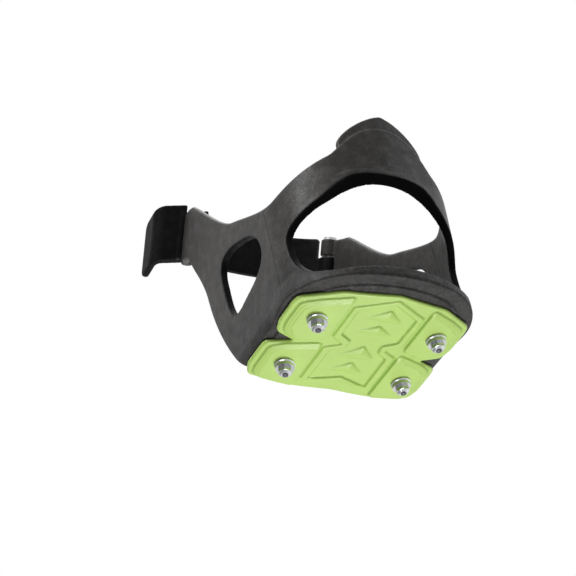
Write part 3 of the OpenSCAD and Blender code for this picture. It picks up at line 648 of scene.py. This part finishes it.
dress(harness, black)
dress(plate, lime)
dress(strap, strap_black)
for name, node in nodes.items():
    if name in ("harness", "traction_plate", "instep_strap"):
        continue
    dress(node, hard if name.startswith("tip_") else bright if name[:4] in ("stud", "wash") else plain)
    bevel = node.modifiers.new("soft edges", "BEVEL")
    bevel.width = 0.00015
    bevel.segments = 2
    bevel.limit_method = "ANGLE"
    bevel.angle_limit = math.radians(35)
    bevel.harden_normals = True
    node.data.shade_smooth()


# Floor, light and camera

def mix_shaders(tree, factor, first, second):
    node = tree.nodes.new("ShaderNodeMixShader")
    for socket, output in zip(node.inputs, (factor, first, second)):
        tree.links.new(output, socket)
    return node.outputs[0]


FLOOR_HALF, FLOOR_GAP = 3.0, 0.0002
floor_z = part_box("tip_rear_left")[0].z - FLOOR_GAP
corners = [(FLOOR_HALF * x, FLOOR_HALF * y, floor_z) for x, y in ((-1, -1), (1, -1), (1, 1), (-1, 1))]
floor_mesh = bpy.data.meshes.new("floor")
floor_mesh.from_pydata(corners, [], [(0, 1, 2, 3)])
floor = bpy.data.objects.new("floor", floor_mesh)
scene.collection.objects.link(floor)
ground = Nodes("pale_floor")
tone = ground.add("TexNoise", Scale=6.0, Detail=3.0).outputs["Fac"]
ground.join(ground.mix(tone, (0.82, 0.82, 0.82, 1), (0.86, 0.86, 0.86, 1)), "Base Color")
ground.shader.inputs["Roughness"].default_value = 0.75
# the camera sees the floor fade to white far out, and sees through it from below
spot = ground.add("NewGeometry").outputs
reach = ground.add("VectorMath", Vector=spot["Position"])
reach.operation = "LENGTH"
far = ground.add("MapRange", Value=reach.outputs["Value"], From_Min=0.25, From_Max=1.3)
far.interpolation_type = "SMOOTHSTEP"
seen = ground.add("LightPath").outputs["Is Camera Ray"]
blank = ground.add("Emission").outputs[0]
clear = ground.add("BsdfTransparent").outputs[0]
fade = ground.math("MULTIPLY", far.outputs["Result"], seen)
top_side = mix_shaders(ground.tree, fade, ground.shader.outputs[0], blank)
surface = mix_shaders(ground.tree, spot["Backfacing"], top_side, clear)
ground.tree.links.new(surface, ground.tree.nodes["Material Output"].inputs["Surface"])
floor_mesh.materials.append(ground.material)
floor.visible_shadow = False
floor.visible_diffuse = False
floor.visible_glossy = False

# The world lights softly, and is white where the camera, metal and glass show it
world = bpy.data.worlds.new("studio")
scene.world = world
world.use_nodes = True
tree = world.node_tree
tree.nodes.clear()
out = tree.nodes.new("ShaderNodeOutputWorld")
path = tree.nodes.new("ShaderNodeLightPath")
soft, white = (tree.nodes.new("ShaderNodeBackground") for _ in range(2))
for background, strength in ((soft, 0.15), (white, 1.0)):
    background.inputs["Color"].default_value = (1, 1, 1, 1)
    background.inputs["Strength"].default_value = strength
shown = path.outputs["Is Camera Ray"]
for key in ("Is Glossy Ray", "Is Transmission Ray"):
    more = tree.nodes.new("ShaderNodeMath")
    more.operation = "MAXIMUM"
    tree.links.new(shown, more.inputs[0])
    tree.links.new(path.outputs[key], more.inputs[1])
    shown = more.outputs[0]
tree.links.new(mix_shaders(tree, shown, soft.outputs[0], white.outputs[0]), out.inputs["Surface"])


def lamp(name, at, aim, size, power):
    data = bpy.data.lights.new(name, "AREA")
    data.shape = "DISK"
    data.size = size
    data.energy = power
    thing = bpy.data.objects.new(name, data)
    thing.location = at
    thing.rotation_euler = (Vector(aim) - Vector(at)).to_track_quat("-Z", "Y").to_euler()
    scene.collection.objects.link(thing)


middle = (0.0, 0.0, 0.04)
lamp("key", (-0.72, -0.34, 0.6), middle, 0.5, 7.5)
lamp("below", (0.3, 0.4, -1.15), middle, 0.45, 11.6)
lamp("below left", (-0.5, -0.1, -1.0), middle, 0.6, 3.0)
lamp("fill", (0.7, -0.6, 0.5), middle, 0.6, 1.4)
lamp("top", (0.1, 0.2, 1.0), middle, 0.8, 4.0)

# The camera stands behind, below and to the left, as in the photograph
turn = Matrix((
    (0.9012529206446546, -0.41414635206432227, -0.12738119331245865),
    (-0.1603035693121262, -0.5918224227601175, 0.7899677108867653),
    (-0.4025492914544903, -0.6915410448291957, -0.5997708291702294),
)).transposed()
lens = bpy.data.cameras.new("camera")
lens.lens = 112.5
lens.sensor_width = 36.0
lens.clip_start = 0.01
camera = bpy.data.objects.new("camera", lens)
camera.matrix_world = Matrix.Translation((-0.36341748774, -0.56920226639, -0.47050006269)) @ turn.to_4x4()
scene.collection.objects.link(camera)
scene.camera = camera
